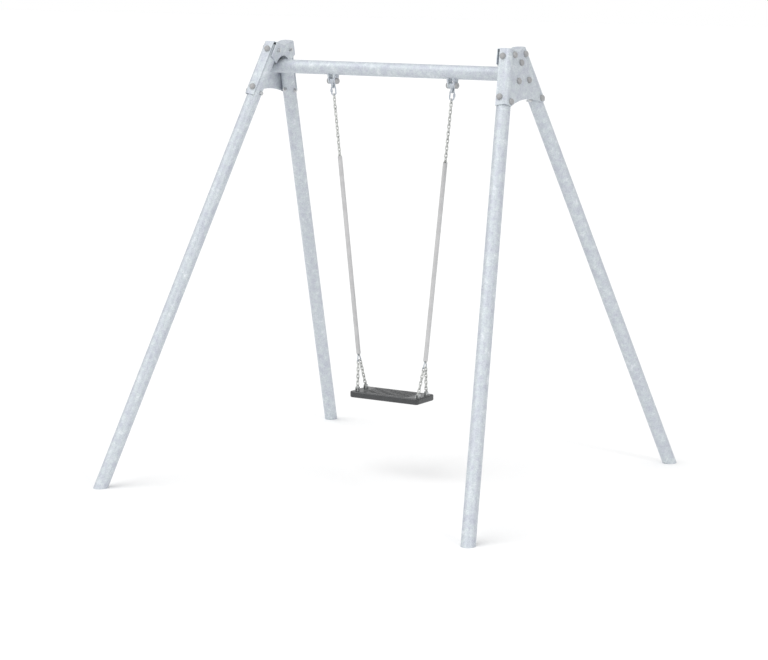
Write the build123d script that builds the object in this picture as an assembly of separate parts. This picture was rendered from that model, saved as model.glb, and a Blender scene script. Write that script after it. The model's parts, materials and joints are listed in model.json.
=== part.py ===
from build123d import *
import os
from math import asin, atan, cos, hypot, radians, sin, sqrt, tan

# Single-bay steel swing frame with one flat rubber seat on chains.
# Millimetres. X runs along the crossbeam, Y is the swing direction (front is -Y), +Z is up.
# The origin is on the ground, under the middle of the crossbeam.
# Everything is drawn for the right-hand (+X) side and mirrored to the left.

# ---- tubes of the frame
tube_radius = 76.1 / 2
leg_wall = 3.2
beam_wall = 3.6
beam_height = 2260.0        # centre line of the crossbeam above the ground
head_offset = 774.4         # where the plane of a leg pair crosses the beam axis
lean_slope = 0.17507        # sideways drift of a leg for each unit of height
splay_slope = 0.45418       # front-to-back drift of a leg for each unit of height
leg_gap = 102.4             # leg axis to the middle plane, at beam height
leg_top_rise = 118.0        # leg end above the beam axis, in the plane of the leg pair

# ---- brackets at each head
plate = 5.0
leg_clearance = 0.35        # between a leg and the plates beside it
bend_outer = 25.0
flange_lip = 24.0           # how far the side flange reaches past the leg axis, inwards
web_bottom = 165.0          # bottom edge of the outer bracket, measured in the head plane
web_inner_reach = 5.5
web_arch_crown = 138.0
roof_height = 2377.0        # valley line of the roof
roof_slope = 0.30
roof_slit = 1.4
roof_bend = 8.0
arch_radius = 60.0
plate_foot = 28.0           # bottom edge of the inner bracket above the beam axis
plate_foot_half = 66.0
plate_hip = (113.0, 69.0)

# ---- M12 fasteners
bolt_radius = 6.0
bolt_hole = 6.5
head_flats = 18.0
head_height = 7.5
nut_height = 8.0
nut_play = 0.05
washer_radius = 12.0
washer_height = 2.5
thread_end = 3.0
cap_radius = 17.0
cap_height = 14.0
cap_round = 9.0
cap_bore = 12.0
cap_depth = 9.5
web_bolt_rises = (99.0, -141.0)
side_bolt_rises = (84.0, -125.0)

# ---- joint between beam and head
beam_flange = 8.0
flange_gap = 0.2
beam_bolt_circle = 63.0
beam_bolt_angles = (90.0, 210.0, 330.0)
flange_edge = 20.0

# ---- hangers
hanger_x = 386.0
pivot_drop = 72.0           # pivot axis below the beam axis
lug_inner = 14.5
lug_plate = 8.0
lug_radius = 17.0
lug_top_half = 26.0
lug_top_rise = 52.0         # lug blank above the pivot, before the saddle cut
bush_bore = 6.05
bush_radius = 9.0
bush_flange_radius = 14.0
bush_flange = 1.4
boss_half = 12.8
boss_radius = 17.0
tab_half = 5.0
tab_radius = 15.5
eye_hole = 8.0
eye_drop = 25.8             # hole of the swing eye below the pivot axis

# ---- chains
link_wire = 3.0             # wire radius
link_pitch = 19.75
link_play = 0.5
link_inner_width = 8.4
chain_links = 74
first_sleeved_link = 18
bridle_links = 8
oval_wire = 3.8
oval_width = 35.0
oval_length = 51.0          # between the wire centres at its two ends
oval_seat = 6.2             # wire centre above the bottom of the eye hole
oval_nut_flats = 13.0
oval_nut_length = 16.0
sleeve_radius = 12.5
sleeve_bore = 10.75
sleeve_top = 391.0          # along the chain, from the oval link's top wire
sleeve_bottom_gap = 12.0    # sleeve end above the lowest chain wire

# ---- junction ring and bridles
ring_wire = 3.5
ring_play = 0.5
bridle_start = (9.0, 22.8)  # first bridle wire: sideways and below the junction
eye_pin_half = 42.0         # seat eye pins in front of and behind the middle

# ---- seat
seat_eye_x = 199.8
seat_length = 450.0
seat_width = 185.0
seat_thickness = 35.0
seat_corner = 20.0
seat_edge = 8.0
pin_rise = 12.5             # seat eye pins above the seat's top
pin_radius = 3.75
pin_play = 0.45
eye_ear_inner = 5.5
eye_ear = 4.0
eye_ear_radius = 9.0
eye_base = (36.0, 34.0, 3.0)
eye_fit = 0.3
stud_radius = 4.0
stud_hole = 4.5
stud_length = 27.0
core_size = (392.0, 118.0, 4.0)
core_corner = 20.0
core_depth = 16.0           # top of the core plate below the seat's top
seat_pocket = 13.0
seat_nut_flats = 13.0
seat_nut_height = 6.5

# ---- working values
lean = atan(lean_slope)
splay = atan(splay_slope * cos(lean))
head_point = Vector(head_offset, 0, beam_height)
HEAD = Plane(origin=head_point, x_dir=(0, 1, 0), z_dir=(cos(lean), 0, sin(lean)))
leg_up = HEAD.x_dir * -sin(splay) + HEAD.y_dir * cos(splay)
LEG = Plane(origin=head_point + Vector(0, leg_gap, 0), x_dir=HEAD.z_dir, z_dir=leg_up)
plate_in = tube_radius + leg_clearance
plate_out = plate_in + plate
reach = 400.0               # longer than anything at a head, for cutting blocks
link_length = link_pitch + link_play + 2 * link_wire
link_bend = link_inner_width / 2 + link_wire
pin_wrap = pin_radius + pin_play + link_wire
bridle_length = link_length + (bridle_links - 1) * link_pitch - pin_wrap
bridle_spread = eye_pin_half - bridle_start[0]
pin_depth = bridle_start[1] + sqrt(bridle_length ** 2 - bridle_spread ** 2)
first_link = oval_length - oval_wire - link_wire - link_play
junction_drop = first_link + (chain_links - 1) * link_pitch + link_length
pivot_z = beam_height - pivot_drop
eye_hole_z = pivot_z - eye_drop
chain_top = Vector(hanger_x, 0, eye_hole_z - eye_hole + oval_seat)
chain_lean = asin((hanger_x - seat_eye_x) / (junction_drop + pin_depth))
chain_side = (cos(chain_lean), 0, -sin(chain_lean))
chain_up = (sin(chain_lean), 0, cos(chain_lean))
CHAIN = Plane(origin=chain_top, x_dir=chain_side, z_dir=chain_up)
JUNCTION = Plane(origin=CHAIN.from_local_coords((0, 0, -junction_drop)), x_dir=chain_side, z_dir=chain_up)
pin_point = JUNCTION.from_local_coords((0, eye_pin_half, -pin_depth))
seat_top = pin_point.Z - pin_rise


def along_leg(rise):
    """Distance along the leg axis for a rise above the beam axis in the head plane."""
    return rise / cos(splay)


def in_head(run, side):
    """Head-plane coordinates of a point beside the rear leg axis."""
    return (leg_gap - run * sin(splay) + side * cos(splay), run * cos(splay) + side * sin(splay))


def block(plane, low, high):
    """Box between two corners given in a plane's own coordinates."""
    size = [high[i] - low[i] for i in range(3)]
    middle = [(high[i] + low[i]) / 2 for i in range(3)]
    return plane * (Pos(*middle) * Box(*size))


def rod(plane, radius, low, high):
    """Cylinder along a plane's normal, between two heights."""
    return plane * (Pos(0, 0, (low + high) / 2) * Cylinder(radius, high - low))


def both_ways(shape):
    """A rear shape and its mirror image at the front."""
    return [shape, mirror(shape, about=Plane.XZ)]


def raised(outline, height):
    """Flat outline in the XY plane, thickened upwards."""
    return extrude(outline, height, dir=(0, 0, 1))


def solids_of(shapes):
    return [solid for shape in shapes for solid in shape.solids()]


# ---- fasteners, drawn with the bearing face at height 0 and the shank pointing down

def hexagon(flats, height):
    return raised(RegularPolygon(flats / 2, 6, major_radius=False), height)


def bolt(shank):
    head = chamfer(hexagon(head_flats, head_height).edges().group_by(Axis.Z)[-1], 1.0)
    return head + rod(Plane.XY, bolt_radius, -shank, 0)


def nut(flats=head_flats, height=nut_height, bore=bolt_radius):
    body = hexagon(flats, height) - rod(Plane.XY, bore + nut_play, -1, height + 1)
    return Pos(0, 0, -height) * body


def washer():
    return rod(Plane.XY, washer_radius, -washer_height, 0) - rod(Plane.XY, bolt_hole, -reach, reach)


def cap():
    """Domed cover that snaps over a bolt head or nut."""
    dome = rod(Plane.XY, cap_radius, 0, cap_height)
    dome = fillet(dome.edges().group_by(Axis.Z)[-1], cap_round)
    return dome - rod(Plane.XY, cap_bore, -1, cap_depth)


# ---- where the fasteners of a right-hand head sit

def facing(plane, point, outward):
    """Plane at a point given in another plane's coordinates, looking outward."""
    origin = plane.from_local_coords(point)
    return Plane(origin=origin, x_dir=leg_up, z_dir=outward)


def web_bolt_planes(height):
    return [facing(LEG, (height, 0, along_leg(rise)), HEAD.z_dir) for rise in web_bolt_rises]


def side_bolt_planes(height):
    return [facing(LEG, (0, height, along_leg(rise)), LEG.y_dir) for rise in side_bolt_rises]


def beam_bolt_planes(height):
    """Bolt circle about the beam axis, where that axis crosses the given height."""
    axis_v = -height * tan(lean)
    places = [(beam_bolt_circle * cos(radians(a)), axis_v + beam_bolt_circle * sin(radians(a)), height)
              for a in beam_bolt_angles]
    return [facing(HEAD, place, HEAD.z_dir) for place in places]


def beam_bolt_points(height):
    """The same bolts as straight lines square to the head plane, set by the outer face."""
    return [(HEAD.to_local_coords(p.origin).X, HEAD.to_local_coords(p.origin).Y, height)
            for p in beam_bolt_planes(plate_out)]


# ---- frame

def leg():
    """Rear right leg: a tube cut square at the top and level with the ground at the foot."""
    foot = -beam_height / cos(lean) / cos(splay)
    spare = 60.0
    tube = rod(LEG, tube_radius, foot - spare, along_leg(leg_top_rise))
    tube -= rod(LEG, tube_radius - leg_wall, foot - 2 * spare, reach)
    for plane in web_bolt_planes(0) + side_bolt_planes(0):
        tube -= rod(plane, bolt_hole, -2 * tube_radius, 2 * tube_radius)
    foot_point = LEG.from_local_coords((0, 0, foot))
    ground = Plane(origin=foot_point)
    return tube - block(ground, (-reach, -reach, -reach), (reach, reach, 0))


def crossbeam():
    along = Plane(origin=(0, 0, beam_height), z_dir=(1, 0, 0))
    tube = rod(along, tube_radius, -head_offset - reach / 4, head_offset + reach / 4)
    tube -= rod(along, tube_radius - beam_wall, -2 * head_offset, 2 * head_offset)
    end = plate_in - flange_gap - beam_flange
    cut = block(HEAD, (-reach, -reach, end), (reach, reach, reach))
    return tube - cut - mirror(cut, about=Plane.YZ)


def beam_end_flange():
    """Rounded triangle welded across the mitred end of the beam."""
    corners = [point[:2] for point in beam_bolt_points(0)]
    outline = offset(Polygon(*corners, align=None), flange_edge, kind=Kind.ARC)
    top = plate_in - flange_gap
    body = HEAD * (Pos(0, 0, top - beam_flange) * raised(outline, beam_flange))
    for point in beam_bolt_points(0):
        body -= rod(facing(HEAD, point, HEAD.z_dir), bolt_hole, -reach, reach)
    return body


def roof_sky(lift=0.0):
    """Everything above the roof, as a block along X."""
    low = roof_height + lift
    outline = Plane.YZ * Polygon((0, low), (reach, low + roof_slope * reach), (reach, 2 * low),
                                 (-reach, 2 * low), (-reach, low + roof_slope * reach), align=None)
    return extrude(outline, 2 * head_offset, dir=(1, 0, 0))


def on_fold(edge, height):
    """Whether an edge is the fold line where the roof surface meets a face of the inner plate."""
    middle = edge.center()
    in_face = abs(HEAD.to_local_coords(middle).Z - height) < 0.01
    return in_face and abs(middle.Z - roof_height - roof_slope * abs(middle.Y)) < 0.01


def bracket_room():
    """Space inside the fold of the outer bracket, along the rear leg."""
    back, side = plate_in - roof_slit, plate_in - leg_clearance
    outline = Polygon((-reach, -reach), (back, -reach), (back, side), (-reach, side), align=None)
    corner = outline.vertices().sort_by_distance((back, side, 0))[0]
    return LEG * (Pos(0, 0, -reach) * raised(fillet(corner, bend_outer - plate), 2 * reach))


def roof_thickness():
    """Height of a roof flap measured straight up."""
    return plate * hypot(1, roof_slope)


def outer_bracket():
    """Folded channel that closes the outside of a head and wraps both legs."""
    low = along_leg(-web_bottom)
    corner = in_head(low, plate_out - bend_outer)
    knee = in_head(low, -web_inner_reach)
    shoulder = in_head(reach / 2, plate_out - bend_outer)
    web = make_face([
        ThreePointArc(knee, (0, -web_arch_crown), (-knee[0], knee[1])),
        Polyline((-knee[0], knee[1]), (-corner[0], corner[1]), (-shoulder[0], shoulder[1]),
                 shoulder, corner, knee),
    ])
    body = HEAD * (Pos(0, 0, plate_in) * raised(web, plate))
    lap = plate_out - bend_outer - 8
    strip = Polygon((plate_in, lap), (plate_in, plate_in), (-flange_lip, plate_in),
                    (-flange_lip, plate_out), (plate_out, plate_out), (plate_out, lap), align=None)
    inside = strip.vertices().sort_by_distance((plate_in, plate_in, 0))[0]
    strip = fillet(inside, bend_outer - plate)
    outside = strip.vertices().sort_by_distance((plate_out, plate_out, 0))[0]
    strip = fillet(outside, bend_outer)
    for side in both_ways(LEG * (Pos(0, 0, low) * raised(strip, reach))):
        body += side
    body -= roof_sky()
    for plane in web_bolt_planes(plate_in) + side_bolt_planes(plate_in):
        for hole in both_ways(rod(plane, bolt_hole, -plate, 2 * plate)):
            body -= hole
    for plane in beam_bolt_planes(plate_out):
        body -= rod(plane, bolt_hole, -2 * plate, plate)
    return body


def inner_bracket():
    """Plate on the inside of a head, arched over the beam, with its top folded into a roof."""
    beam_v = plate_in * tan(lean)
    arch_end = sqrt(arch_radius ** 2 - (plate_foot - beam_v) ** 2)
    arch_mid = arch_radius * cos(radians(45))
    shoulder = in_head(reach / 2, plate_out)
    outline = make_face([
        ThreePointArc((0, beam_v + arch_radius), (arch_mid, beam_v + arch_mid), (arch_end, plate_foot)),
        Polyline((arch_end, plate_foot), (plate_foot_half, plate_foot), plate_hip, shoulder,
                 (0, shoulder[1]), (0, beam_v + arch_radius)),
    ])
    half = HEAD * (Pos(0, 0, -plate_out) * raised(outline, plate)) - roof_sky()
    half += (roof_sky(-roof_thickness()) - roof_sky()) & block(HEAD, (0, 0, -plate_out), (reach, reach, reach))
    half &= bracket_room()
    fold = [edge for edge in half.edges() if on_fold(edge, -plate_out)]
    half = fillet(fold, roof_bend)
    half -= rod(web_bolt_planes(-plate_in)[0], bolt_hole, -2 * plate, plate)
    rear, front = both_ways(half)
    return rear + front


# ---- hardware of a right-hand head

def leg_bolts():
    through = 2 * plate_out + washer_height + nut_height + thread_end
    short = plate_out + plate_in + washer_height + nut_height + thread_end
    upper, lower = web_bolt_planes(plate_out)
    rear = [upper * bolt(through), lower * bolt(short)]
    rear += [plane * bolt(short) for plane in side_bolt_planes(plate_out)]
    return [one for shape in rear for one in both_ways(shape)]


def leg_nut_planes():
    upper = web_bolt_planes(-plate_out)[0]
    lower = web_bolt_planes(-plate_in)[1]
    return [upper, lower] + side_bolt_planes(-plate_in)


def leg_washers():
    return [one for plane in leg_nut_planes() for one in both_ways(plane * washer())]


def leg_nuts():
    place = Pos(0, 0, -washer_height)
    return [one for plane in leg_nut_planes() for one in both_ways(plane * (place * nut()))]


def beam_bolts():
    shank = plate + flange_gap + beam_flange + nut_height + thread_end
    return [plane * bolt(shank) for plane in beam_bolt_planes(plate_out)]


def beam_nuts():
    bottom = plate_in - flange_gap - beam_flange
    return [facing(HEAD, point, HEAD.z_dir) * nut() for point in beam_bolt_points(bottom)]


def bolt_caps():
    rear = web_bolt_planes(plate_out) + side_bolt_planes(plate_out)
    caps = [one for plane in rear for one in both_ways(plane * cap())]
    return caps + [plane * cap() for plane in beam_bolt_planes(plate_out)]


# ---- right-hand hanger

PIVOT = Plane(origin=(hanger_x, 0, pivot_z), x_dir=(0, 1, 0), z_dir=(1, 0, 0))


def hanger_lugs():
    """Two ears welded under the beam, with a hole each for the pivot bolt."""
    top = Rectangle(2 * lug_top_half, lug_top_rise - 2 * lug_radius)
    blank = make_hull([*Circle(lug_radius).edges(), *(Pos(0, lug_top_rise / 2 + lug_radius) * top).edges()])
    along = Plane(origin=(hanger_x, 0, beam_height), z_dir=(1, 0, 0))
    lugs = []
    for start in (lug_inner, -lug_inner - lug_plate):
        ear = PIVOT * (Pos(0, 0, start) * raised(blank, lug_plate))
        ear -= rod(along, tube_radius + nut_play, -reach, reach)
        lugs.append(ear - rod(PIVOT, bolt_hole, -reach, reach))
    return lugs


def pivot_bolt():
    outer = lug_inner + lug_plate
    return PIVOT * (Pos(0, 0, outer) * bolt(2 * outer + nut_height + 1))


def pivot_nut():
    return PIVOT * (Pos(0, 0, -lug_inner - lug_plate) * nut())


def pivot_caps():
    outer = lug_inner + lug_plate
    return [PIVOT * (Pos(0, 0, outer) * cap()), PIVOT * (Pos(0, 0, -outer) * (Rot(180, 0, 0) * cap()))]


def pivot_bushes():
    """Flanged plain bearings, one pressed in from each side of the eye."""
    middle_gap = 0.2
    bush = rod(Plane.XY, bush_radius, middle_gap, boss_half)
    bush += rod(Plane.XY, bush_flange_radius, boss_half, boss_half + bush_flange)
    bush -= rod(Plane.XY, bush_bore, -reach, reach)
    return [PIVOT * bush, PIVOT * (Rot(180, 0, 0) * bush)]


def swing_eye():
    """Forged eye: a boss around the bushes and a flat tab with the hole for the oval link."""
    boss = rod(PIVOT, boss_radius, -boss_half, boss_half)
    tab_outline = make_hull([*Circle(boss_radius - 1).edges(),
                             *(Pos(0, -eye_drop) * Circle(tab_radius)).edges()])
    tab = PIVOT * (Pos(0, 0, -tab_half) * raised(tab_outline, 2 * tab_half))
    low = Plane(origin=(hanger_x, 0, eye_hole_z), z_dir=(1, 0, 0))
    tab -= rod(low, eye_hole, -reach, reach)
    rim = [e for e in tab.edges() if e.geom_type == GeomType.CIRCLE and e.center().Z < pivot_z - 1]
    tab = chamfer(rim, 1.2)
    return boss + tab - rod(PIVOT, bush_radius + nut_play, -reach, reach)


# ---- chains, drawn hanging down from a first wire at height 0

def wire_loop(outline, wire):
    """Round wire bent along the edge of a flat outline that lies in the XZ plane."""
    path = (Plane.XZ * outline).wire()
    start = Plane(origin=path @ 0, z_dir=path % 0)
    return sweep(start * Circle(wire), path)


def oval_loop(length, bend, wire):
    """Oval ring in the XZ plane, hanging from its top wire at height 0."""
    outline = Pos(0, -length / 2) * (Rot(0, 0, 90) * SlotOverall(length, 2 * bend))
    return wire_loop(outline, wire)


def chain_run(plane, first, links, turned):
    """Chain links along a plane's downward normal, each a quarter turn from the last."""
    link = oval_loop(link_length, link_bend, link_wire)
    return [plane * (Pos(0, 0, -first - k * link_pitch) * (Rot(0, 0, 90 * ((k + turned) % 2)) * link))
            for k in links]


def oval_link():
    return CHAIN * oval_loop(oval_length, oval_width / 2 - oval_wire, oval_wire)


def oval_link_nut():
    """Threaded sleeve that closes the gate of the oval link."""
    limb = oval_width / 2 - oval_wire
    sleeve_nut = nut(oval_nut_flats, oval_nut_length, oval_wire)
    return CHAIN * (Pos(limb, 0, (oval_nut_length - oval_length) / 2) * sleeve_nut)


def chain_exposed():
    """Links above the sleeve, and the last one, which comes out below it."""
    return chain_run(CHAIN, first_link, [*range(first_sleeved_link), chain_links - 1], 1)


def chain_sleeved():
    return chain_run(CHAIN, first_link, range(first_sleeved_link, chain_links - 1), 1)


def chain_sleeve():
    low = sleeve_bottom_gap - junction_drop
    return rod(CHAIN, sleeve_radius, low, -sleeve_top) - rod(CHAIN, sleeve_bore, -2 * junction_drop, reach)


def junction_ring():
    """Three-cornered ring in the YZ plane, its top bend centred on the last chain wire."""
    side, drop = bridle_start
    corners = Polygon((0, 0), (side, -drop), (-side, -drop), align=None)
    outline = offset(corners, link_wire + ring_play + ring_wire, kind=Kind.ARC)
    return JUNCTION * (Rot(0, 0, 90) * wire_loop(outline, ring_wire))


def bridle_chain():
    """Rear bridle, from the ring's corner down to the seat eye pin."""
    side, drop = bridle_start
    start = JUNCTION.from_local_coords((0, side, -drop))
    upward = Vector(start) - Vector(pin_point)
    line = Plane(origin=start, x_dir=chain_side, z_dir=upward)
    return chain_run(line, 0, range(bridle_links), 0)


# ---- seat

EYE = Plane(origin=(pin_point.X, pin_point.Y, seat_top))


def seat_eye():
    """Clevis for a bridle chain: base plate, two ears and a stud down through the seat."""
    length, width, thickness = eye_base
    base = Pos(0, 0, -thickness / 2) * Box(length, width, thickness)
    base = fillet(base.edges().filter_by(Axis.Z), 5)
    side = make_hull([*(Pos(0, pin_rise) * Circle(eye_ear_radius)).edges(),
                      *(Pos(0, -thickness / 2) * Rectangle(0.8 * width, thickness)).edges()])
    body = base
    for start in (eye_ear_inner, -eye_ear_inner - eye_ear):
        body += Pos(start, 0, 0) * extrude(Plane.YZ * side, eye_ear, dir=(1, 0, 0))
    body += rod(Plane.XY, stud_radius, -stud_length, 0)
    pin_line = Plane(origin=(0, 0, pin_rise), z_dir=(1, 0, 0))
    return EYE * (body - rod(pin_line, pin_radius + nut_play, -reach, reach))


def seat_eye_pin():
    """Rivet pin through the two ears of a seat eye."""
    outer = eye_ear_inner + eye_ear
    line = Plane(origin=EYE.from_local_coords((0, 0, pin_rise)), z_dir=(1, 0, 0))
    head = 1.6
    pin = rod(line, pin_radius, -outer - head, outer + head)
    for start in (outer, -outer - head):
        pin += rod(line, 1.7 * pin_radius, start, start + head)
    return pin


def seat_eye_nut():
    place = Pos(0, 0, -core_depth - core_size[2])
    return EYE * (place * nut(seat_nut_flats, seat_nut_height, stud_radius))


def four_corners(shape):
    rear_pair = [shape, mirror(shape, about=Plane.YZ)]
    return [one for each in rear_pair for one in both_ways(each)]


def rounded_slab(length, width, thickness, corner):
    """Slab with rounded plan corners, its top face on the seat's top level."""
    plan = RectangleRounded(length, width, corner)
    return Plane(origin=(0, 0, seat_top - thickness)) * raised(plan, thickness)


def seat_core():
    """Steel plate moulded into the seat."""
    core = Pos(0, 0, -core_depth) * rounded_slab(*core_size, core_corner)
    for hole in four_corners(rod(EYE, stud_hole, -reach, reach)):
        core -= hole
    return core


def seat_rubber():
    """Moulded rubber board with the hollow for its core plate and the four eye fixings."""
    body = rounded_slab(seat_length, seat_width, seat_thickness, seat_corner)
    body = fillet(body.faces().filter_by(Axis.Z).edges(), seat_edge)
    gap = 0.1
    hollow = rounded_slab(core_size[0] + gap, core_size[1] + gap, core_size[2] + gap, core_corner)
    body -= Pos(0, 0, gap / 2 - core_depth) * hollow
    length, width, thickness = (size + eye_fit for size in eye_base)
    recess = EYE * (Pos(0, 0, -thickness / 2) * Box(length, width, thickness))
    pocket = rod(EYE, seat_pocket, -seat_thickness - 1, -core_depth)
    for cut in four_corners(recess + rod(EYE, stud_hole, -seat_thickness - 1, 0) + pocket):
        body -= cut
    return body


# ---- output

def save(name, shapes):
    export_step(Compound(solids_of(shapes)), os.path.join("parts", name + ".step"))


def save_pair(name, shapes):
    """A right-hand sub-part and its mirror image on the left."""
    save(name + "_right", shapes)
    save(name + "_left", [mirror(shape, about=Plane.YZ) for shape in solids_of(shapes)])


def main():
    os.makedirs("parts", exist_ok=True)
    rear_leg, front_leg = both_ways(leg())
    save_pair("leg_rear", [rear_leg])
    save_pair("leg_front", [front_leg])
    save("crossbeam", [crossbeam()])
    save_pair("beam_flange", [beam_end_flange()])
    save_pair("outer_bracket", [outer_bracket()])
    save_pair("inner_bracket", [inner_bracket()])
    save_pair("leg_bolts", leg_bolts())
    save_pair("leg_washers", leg_washers())
    save_pair("leg_nuts", leg_nuts())
    save_pair("beam_bolts", beam_bolts())
    save_pair("beam_nuts", beam_nuts())
    save_pair("bolt_caps", bolt_caps())
    save_pair("hanger_lugs", hanger_lugs())
    save_pair("pivot_bolt", [pivot_bolt()])
    save_pair("pivot_nut", [pivot_nut()])
    save_pair("pivot_caps", pivot_caps())
    save_pair("pivot_bushes", pivot_bushes())
    save_pair("swing_eye", [swing_eye()])
    save_pair("oval_link", [oval_link()])
    save_pair("oval_link_nut", [oval_link_nut()])
    save_pair("chain_exposed", chain_exposed())
    save_pair("chain_sleeved", chain_sleeved())
    save_pair("chain_sleeve", [chain_sleeve()])
    save_pair("junction_ring", [junction_ring()])
    rear_bridle, front_bridle = zip(*[both_ways(link) for link in bridle_chain()])
    save_pair("bridle_rear", rear_bridle)
    save_pair("bridle_front", front_bridle)
    save("seat_rubber", [seat_rubber()])
    save("seat_core", [seat_core()])
    save("seat_eyes", four_corners(seat_eye()))
    save("seat_eye_pins", four_corners(seat_eye_pin()))
    save("seat_eye_nuts", four_corners(seat_eye_nut()))


main()
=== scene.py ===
import json
import math
import bpy
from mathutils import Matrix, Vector, noise


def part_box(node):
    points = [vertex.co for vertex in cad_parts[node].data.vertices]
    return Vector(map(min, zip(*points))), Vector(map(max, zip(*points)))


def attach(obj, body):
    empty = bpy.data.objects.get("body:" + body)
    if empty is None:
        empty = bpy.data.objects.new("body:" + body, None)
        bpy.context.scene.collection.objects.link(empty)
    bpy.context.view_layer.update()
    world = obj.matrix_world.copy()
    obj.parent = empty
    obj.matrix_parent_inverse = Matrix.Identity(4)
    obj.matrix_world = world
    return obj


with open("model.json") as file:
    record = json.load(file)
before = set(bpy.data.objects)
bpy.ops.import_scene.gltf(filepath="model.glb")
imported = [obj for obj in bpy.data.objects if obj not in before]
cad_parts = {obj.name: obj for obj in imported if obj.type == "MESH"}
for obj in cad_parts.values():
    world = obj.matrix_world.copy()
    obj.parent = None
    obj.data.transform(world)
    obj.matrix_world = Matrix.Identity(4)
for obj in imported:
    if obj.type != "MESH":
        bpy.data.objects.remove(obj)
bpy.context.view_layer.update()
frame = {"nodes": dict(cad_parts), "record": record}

# A galvanised steel swing frame with a flat black rubber seat on chains.
# Everything is in metres, in the frame of the CAD model.

# ---- camera and studio
camera_azimuth = 32.743      # degrees round from the front
camera_elevation = 9.409
camera_distance = 13.331
camera_target = Vector((-0.0512, 0.0, 0.8185))
camera_lens = 112.38
floor_half = 60.0
floor_gap = 0.0003
ambient_strength = 0.74
key_light = (1.35, 60.0, (0.35, 0.60, -1.0))        # strength, spread in degrees, travel
side_light = (0.55, 10.0, (-0.95, 0.45, -0.40))

# ---- weld beads
weld_radius = 0.0028
weld_pitch = 0.0045          # length of one ripple of the bead
weld_sides = 10
weld_ripple = 0.13           # share of the bead's radius
weld_wander = 0.18
weld_wander_scale = 90
lug_plate = 0.008
lug_weld_steps = 60
lug_weld_overrun = 0.001
beam_weld_steps = 220
head_lean_slope = math.tan(math.asin(0.17245))

# ---- edges of bent and cut sheet
edge_merge = 0.00002
edge_bevel = 0.0007
edge_angle = 50              # degrees
sheet_nodes = ("outer_bracket", "inner_bracket", "hanger_lugs", "beam_flange")

# ---- ribs on top of the seat
rib_rows = 7
rib_spacing = 0.0210
rib_half_length = 0.152
rib_height = 0.0019
rib_width = 0.0080
rib_wave = 0.0050
rib_wavelength = 0.112
rib_steps = 150
rib_sides = 12
rib_phase = 1.9              # shift of the wave from each row to the next
rib_taper = 0.10             # share of the half length over which an end tapers


# ---- materials

def new_material(name):
    """An empty node material: its tree, its shader and the row-frame coordinates."""
    material = bpy.data.materials.new(name)
    material.use_nodes = True
    tree = material.node_tree
    shader = tree.nodes["Principled BSDF"]
    place = tree.nodes.new("ShaderNodeTexCoord").outputs["Object"]
    return material, tree, shader, place


def noise_map(tree, place, scale, detail=4.0, roughness=0.55):
    node = tree.nodes.new("ShaderNodeTexNoise")
    node.inputs["Scale"].default_value = scale
    node.inputs["Detail"].default_value = detail
    node.inputs["Roughness"].default_value = roughness
    tree.links.new(place, node.inputs["Vector"])
    return node.outputs["Fac"]


def cell_map(tree, place, scale, wobble=0.02):
    """Random value for each crystal of a cell pattern with uneven borders."""
    bend = tree.nodes.new("ShaderNodeTexNoise")
    bend.inputs["Scale"].default_value = scale * 1.4
    tree.links.new(place, bend.inputs["Vector"])
    shift = tree.nodes.new("ShaderNodeVectorMath")
    shift.operation = "MULTIPLY_ADD"
    shift.inputs[1].default_value = (wobble, wobble, wobble)
    tree.links.new(bend.outputs["Color"], shift.inputs[0])
    tree.links.new(place, shift.inputs[2])
    cells = tree.nodes.new("ShaderNodeTexVoronoi")
    cells.inputs["Scale"].default_value = scale
    tree.links.new(shift.outputs[0], cells.inputs["Vector"])
    grey = tree.nodes.new("ShaderNodeRGBToBW")
    tree.links.new(cells.outputs["Color"], grey.inputs[0])
    return grey.outputs[0]


def ramp(tree, value, stops):
    """Colour ramp from (position, colour) pairs."""
    node = tree.nodes.new("ShaderNodeValToRGB")
    points = node.color_ramp.elements
    while len(points) < len(stops):
        points.new(0.5)
    for point, (position, colour) in zip(points, stops):
        point.position = position
        point.color = (*colour, 1.0)
    tree.links.new(value, node.inputs[0])
    return node.outputs["Color"]


def blend_colours(tree, factor, first, second, mode="MIX"):
    node = tree.nodes.new("ShaderNodeMix")
    node.data_type = "RGBA"
    node.blend_type = mode
    if isinstance(factor, float):
        node.inputs[0].default_value = factor
    else:
        tree.links.new(factor, node.inputs[0])
    tree.links.new(first, node.inputs[6])
    tree.links.new(second, node.inputs[7])
    return node.outputs[2]


def value_range(tree, value, low, high):
    node = tree.nodes.new("ShaderNodeMapRange")
    node.inputs["From Min"].default_value = 0.25
    node.inputs["From Max"].default_value = 0.75
    node.inputs["To Min"].default_value = low
    node.inputs["To Max"].default_value = high
    tree.links.new(value, node.inputs["Value"])
    return node.outputs["Result"]


def bump(tree, shader, height, strength, distance):
    node = tree.nodes.new("ShaderNodeBump")
    node.inputs["Strength"].default_value = strength
    node.inputs["Distance"].default_value = distance
    tree.links.new(height, node.inputs["Height"])
    tree.links.new(node.outputs["Normal"], shader.inputs["Normal"])


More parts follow.
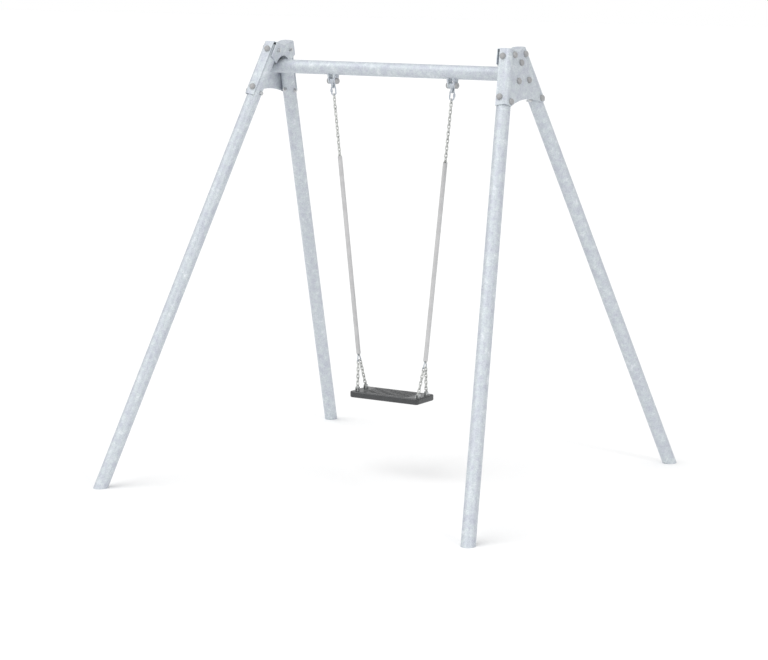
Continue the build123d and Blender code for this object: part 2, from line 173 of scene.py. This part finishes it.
def galvanised(name, level=1.0, metallic=0.28, cloud=24.0, speckle=150.0):
    """Hot-dip zinc: faint cool and greenish clouds under a fine speckle."""
    material, tree, shader, place = new_material(name)
    cool = tuple(level * c for c in (0.545, 0.575, 0.640))
    mid = tuple(level * c for c in (0.600, 0.638, 0.690))
    green = tuple(level * c for c in (0.600, 0.655, 0.685))
    pale = tuple(level * c for c in (0.720, 0.755, 0.800))
    clouds = ramp(tree, noise_map(tree, place, cloud, 6.0, 0.68),
                  [(0.36, cool), (0.47, mid), (0.55, green), (0.66, pale)])
    specks = noise_map(tree, place, speckle, 4.0, 0.7)
    dark, even, bright = (0.80, 0.81, 0.83), (0.97, 0.97, 0.97), (1.12, 1.11, 1.09)
    shade = ramp(tree, specks, [(0.34, dark), (0.5, even), (0.66, bright)])
    colour = blend_colours(tree, 0.9, clouds, shade, "MULTIPLY")
    crystals = cell_map(tree, place, 2.2 * cloud)
    spangle = ramp(tree, crystals, [(0.25, (0.93, 0.93, 0.95)), (0.75, (1.03, 1.03, 1.02))])
    colour = blend_colours(tree, 0.8, colour, spangle, "MULTIPLY")
    tree.links.new(colour, shader.inputs["Base Color"])
    shader.inputs["Metallic"].default_value = metallic
    tree.links.new(value_range(tree, specks, 0.44, 0.60), shader.inputs["Roughness"])
    bump(tree, shader, noise_map(tree, place, 300.0, 3.0), 0.15, 0.0005)
    return material


def plain_metal(name, dark, light, roughness, metallic, scale):
    """Metal with light and dark staining and a fine rough surface."""
    material, tree, shader, place = new_material(name)
    colour = ramp(tree, noise_map(tree, place, scale), [(0.35, dark), (0.65, light)])
    tree.links.new(colour, shader.inputs["Base Color"])
    shader.inputs["Metallic"].default_value = metallic
    rough = value_range(tree, noise_map(tree, place, scale * 3), roughness - 0.08, roughness + 0.08)
    tree.links.new(rough, shader.inputs["Roughness"])
    bump(tree, shader, noise_map(tree, place, 900.0, 2.0), 0.15, 0.0002)
    return material


def moulded(name, dark, light, roughness, grain, depth, gloss=0.5):
    """Moulded plastic or rubber with a fine texture and slightly cloudy colour."""
    material, tree, shader, place = new_material(name)
    colour = ramp(tree, noise_map(tree, place, 22.0), [(0.35, dark), (0.65, light)])
    tree.links.new(colour, shader.inputs["Base Color"])
    shader.inputs["Specular IOR Level"].default_value = gloss
    rough = value_range(tree, noise_map(tree, place, 60.0), roughness - 0.05, roughness + 0.07)
    tree.links.new(rough, shader.inputs["Roughness"])
    bump(tree, shader, noise_map(tree, place, grain, 2.0), 0.25, depth)
    return material


def floor_material():
    material, tree, shader, place = new_material("studio_floor")
    dull, bright = (0.925, 0.925, 0.925), (0.94, 0.94, 0.94)
    colour = ramp(tree, noise_map(tree, place, 0.6), [(0.3, dull), (0.7, bright)])
    tree.links.new(colour, shader.inputs["Base Color"])
    shader.inputs["Roughness"].default_value = 0.9
    shader.inputs["Specular IOR Level"].default_value = 0.1
    return material


def make_materials():
    """One material for each material slot of the record."""
    return {
        "galvanised_steel": galvanised("galvanised_steel", 0.93),
        "cap_plastic": moulded("cap_plastic",
                               (0.300, 0.302, 0.306), (0.360, 0.362, 0.366), 0.36, 700.0, 0.0001),
        "zinc_fasteners": plain_metal("zinc_fasteners",
                                      (0.50, 0.51, 0.52), (0.66, 0.67, 0.68), 0.30, 0.85, 90.0),
        "bearing_bronze": plain_metal("bearing_bronze",
                                      (0.34, 0.22, 0.10), (0.46, 0.31, 0.15), 0.42, 0.9, 80.0),
        "forged_fittings": galvanised("forged_fittings", 0.86, 0.6, 60.0, 240.0),
        "chain_steel": plain_metal("chain_steel", (0.46, 0.47, 0.46), (0.68, 0.69, 0.67), 0.38, 0.55, 45.0),
        "sleeve_pvc": moulded("sleeve_pvc", (0.47, 0.47, 0.475), (0.53, 0.53, 0.535), 0.42, 400.0, 0.0001),
        "seat_rubber": moulded("seat_rubber",
                               (0.016, 0.018, 0.020), (0.026, 0.029, 0.032), 0.24, 1100.0, 0.00004, 0.8),
        "seat_metal": plain_metal("seat_metal", (0.30, 0.31, 0.31), (0.46, 0.47, 0.47), 0.40, 0.8, 60.0),
    }


materials = make_materials()


# ---- CAD nodes

def finish_cad_nodes():
    """Gives each CAD node its slot's material, and softened edges to the sheet nodes."""
    slots = {part["node"]: part["material_slot"] for part in frame["record"]["subparts"]}
    for name, piece in frame["nodes"].items():
        piece.data.materials.clear()
        piece.data.materials.append(materials[slots[name]])
        if name.startswith(sheet_nodes):
            weld = piece.modifiers.new("weld", "WELD")
            weld.merge_threshold = edge_merge
            bevel = piece.modifiers.new("bevel", "BEVEL")
            bevel.width = edge_bevel
            bevel.segments = 2
            bevel.limit_method = "ANGLE"
            bevel.angle_limit = math.radians(edge_angle)


finish_cad_nodes()


# ---- pieces made here

def mesh_piece(name, points, faces, body, slot):
    """A smooth mesh that rides on a body and takes a record slot's material."""
    mesh = bpy.data.meshes.new(name)
    mesh.from_pydata([tuple(p) for p in points], [], faces)
    mesh.validate()
    mesh.shade_smooth()
    piece = bpy.data.objects.new(name, mesh)
    bpy.context.scene.collection.objects.link(piece)
    mesh.materials.append(materials[slot])
    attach(piece, body)
    return piece


def ring_faces(rings, sides, closed):
    """Quads between neighbouring rings of points, with end caps on an open tube."""
    spans = rings if closed else rings - 1
    faces = []
    for i in range(spans):
        here, after = i * sides, ((i + 1) % rings) * sides
        for k in range(sides):
            following = (k + 1) % sides
            faces.append((here + k, here + following, after + following, after + k))
    if not closed:
        faces.append(tuple(reversed(range(sides))))
        faces.append(tuple(range((rings - 1) * sides, rings * sides)))
    return faces


def bead_points(path, closed):
    """Rippled round bead along a path, slightly uneven as a hand-laid weld is."""
    points = []
    count = len(path)
    travelled = 0.0
    for i, centre in enumerate(path):
        before = path[i - 1] if closed or i > 0 else centre
        after = path[(i + 1) % count] if closed or i < count - 1 else centre
        along = (after - before).normalized()
        side = along.orthogonal().normalized()
        up = along.cross(side)
        ripple = 1 + weld_ripple * math.sin(2 * math.pi * travelled / weld_pitch)
        radius = weld_radius * ripple * (1 + weld_wander * noise.noise(centre * weld_wander_scale))
        if not closed and i in (0, count - 1):
            radius *= 0.4
        for k in range(weld_sides):
            turn = 2 * math.pi * k / weld_sides
            points.append(centre + radius * (side * math.cos(turn) + up * math.sin(turn)))
        travelled += (after - centre).length
    return points


def lug_welds(side):
    """Fillet welds where the two hanger lugs meet the underside of the beam."""
    low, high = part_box("hanger_lugs_" + side)
    beam_low, beam_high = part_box("crossbeam")
    radius = (beam_high.z - beam_low.z) / 2
    centre_z = (beam_high.z + beam_low.z) / 2
    reach = math.asin((high.y + lug_weld_overrun) / radius)
    points, faces = [], []
    for x in (low.x, low.x + lug_plate, high.x - lug_plate, high.x):
        path = []
        for i in range(lug_weld_steps + 1):
            angle = -reach + 2 * reach * i / lug_weld_steps
            path.append(Vector((x, radius * math.sin(angle), centre_z - radius * math.cos(angle))))
        first = len(points)
        points += bead_points(path, False)
        bead_faces = ring_faces(lug_weld_steps + 1, weld_sides, False)
        faces += [tuple(first + v for v in face) for face in bead_faces]
    return mesh_piece("lug_welds_" + side, points, faces, "frame", "galvanised_steel")


def beam_weld(side, sign):
    """Bead round the mitred end of the beam, against its flange."""
    beam_low, beam_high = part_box("crossbeam")
    radius = (beam_high.z - beam_low.z) / 2
    centre_z = (beam_high.z + beam_low.z) / 2
    half = beam_high.x
    path = []
    for i in range(beam_weld_steps):
        angle = 2 * math.pi * i / beam_weld_steps
        rise = radius * math.cos(angle)
        x = sign * (half - (rise + radius) * head_lean_slope)
        path.append(Vector((x, radius * math.sin(angle), centre_z + rise)))
    points = bead_points(path, True)
    return mesh_piece("beam_weld_" + side, points, ring_faces(beam_weld_steps, weld_sides, True),
                      "frame", "galvanised_steel")


def seat_ribs():
    """Wavy raised ribs moulded along the top of the seat, between the chain fixings."""
    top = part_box("seat_rubber")[1].z
    points, faces = [], []
    for row in range(rib_rows):
        base_y = (row - (rib_rows - 1) / 2) * rib_spacing
        phase = row * rib_phase
        start = len(points)
        for i in range(rib_steps + 1):
            along = i / rib_steps
            x = rib_half_length * (2 * along - 1)
            wave = math.sin(2 * math.pi * x / rib_wavelength + phase)
            second = 0.35 * math.sin(2 * math.pi * x / (rib_wavelength * 0.53) + 2.3 * phase)
            y = base_y + rib_wave * (wave + second)
            end = min(1.0, (1 - abs(2 * along - 1)) / rib_taper)
            taper = math.sqrt(max(0.03, math.sin(end * math.pi / 2)))
            swell = taper * (0.86 + 0.14 * math.sin(x * 70 + phase))
            for k in range(rib_sides):
                turn = 2 * math.pi * k / rib_sides
                lift = rib_height * swell * math.sin(turn)
                depth = lift if lift > 0 else 0.3 * lift
                points.append((x, y + rib_width / 2 * swell * math.cos(turn), top + depth))
        faces += [tuple(start + v for v in face) for face in ring_faces(rib_steps + 1, rib_sides, False)]
    return mesh_piece("seat_ribs", points, faces, "seat_assembly", "seat_rubber")


for side_name, side_sign in (("left", -1), ("right", 1)):
    lug_welds(side_name)
    beam_weld(side_name, side_sign)
seat_ribs()


# ---- floor, light and camera

def add_floor():
    corners = [(x * floor_half, y * floor_half, -floor_gap) for x, y in ((-1, -1), (1, -1), (1, 1), (-1, 1))]
    mesh = bpy.data.meshes.new("floor")
    mesh.from_pydata(corners, [], [(0, 1, 2, 3)])
    mesh.materials.append(floor_material())
    floor = bpy.data.objects.new("floor", mesh)
    bpy.context.scene.collection.objects.link(floor)


def add_sun(name, strength, spread, travel):
    """Soft distant light that travels along the given direction."""
    light = bpy.data.lights.new(name, "SUN")
    light.energy = strength
    light.angle = math.radians(spread)
    lamp = bpy.data.objects.new(name, light)
    lamp.rotation_mode = "QUATERNION"
    lamp.rotation_quaternion = Vector(travel).to_track_quat("-Z", "Y")
    bpy.context.scene.collection.objects.link(lamp)


def add_world():
    world = bpy.data.worlds.new("studio")
    world.use_nodes = True
    tree = world.node_tree
    background = tree.nodes["Background"]
    background.inputs["Color"].default_value = (1.0, 1.0, 1.0, 1.0)
    background.inputs["Strength"].default_value = ambient_strength
    backdrop = tree.nodes.new("ShaderNodeBackground")
    backdrop.inputs["Color"].default_value = (1.0, 1.0, 1.0, 1.0)
    seen = tree.nodes.new("ShaderNodeLightPath").outputs["Is Camera Ray"]
    choice = tree.nodes.new("ShaderNodeMixShader")
    tree.links.new(seen, choice.inputs[0])
    tree.links.new(background.outputs[0], choice.inputs[1])
    tree.links.new(backdrop.outputs[0], choice.inputs[2])
    tree.links.new(choice.outputs[0], tree.nodes["World Output"].inputs["Surface"])
    bpy.context.scene.world = world


def add_camera():
    azimuth, elevation = math.radians(camera_azimuth), math.radians(camera_elevation)
    back = Vector((math.sin(azimuth) * math.cos(elevation), -math.cos(azimuth) * math.cos(elevation),
                   math.sin(elevation)))
    lens = bpy.data.cameras.new("camera")
    lens.lens = camera_lens
    lens.sensor_width = 36.0
    lens.clip_end = 500.0
    camera = bpy.data.objects.new("camera", lens)
    camera.location = camera_target + back * camera_distance
    camera.rotation_mode = "QUATERNION"
    camera.rotation_quaternion = (-back).to_track_quat("-Z", "Y")
    bpy.context.scene.collection.objects.link(camera)
    bpy.context.scene.camera = camera


add_floor()
add_world()
add_sun("key_light", *key_light)
add_sun("side_light", *side_light)
add_camera()
bpy.context.scene.view_settings.view_transform = "Standard"
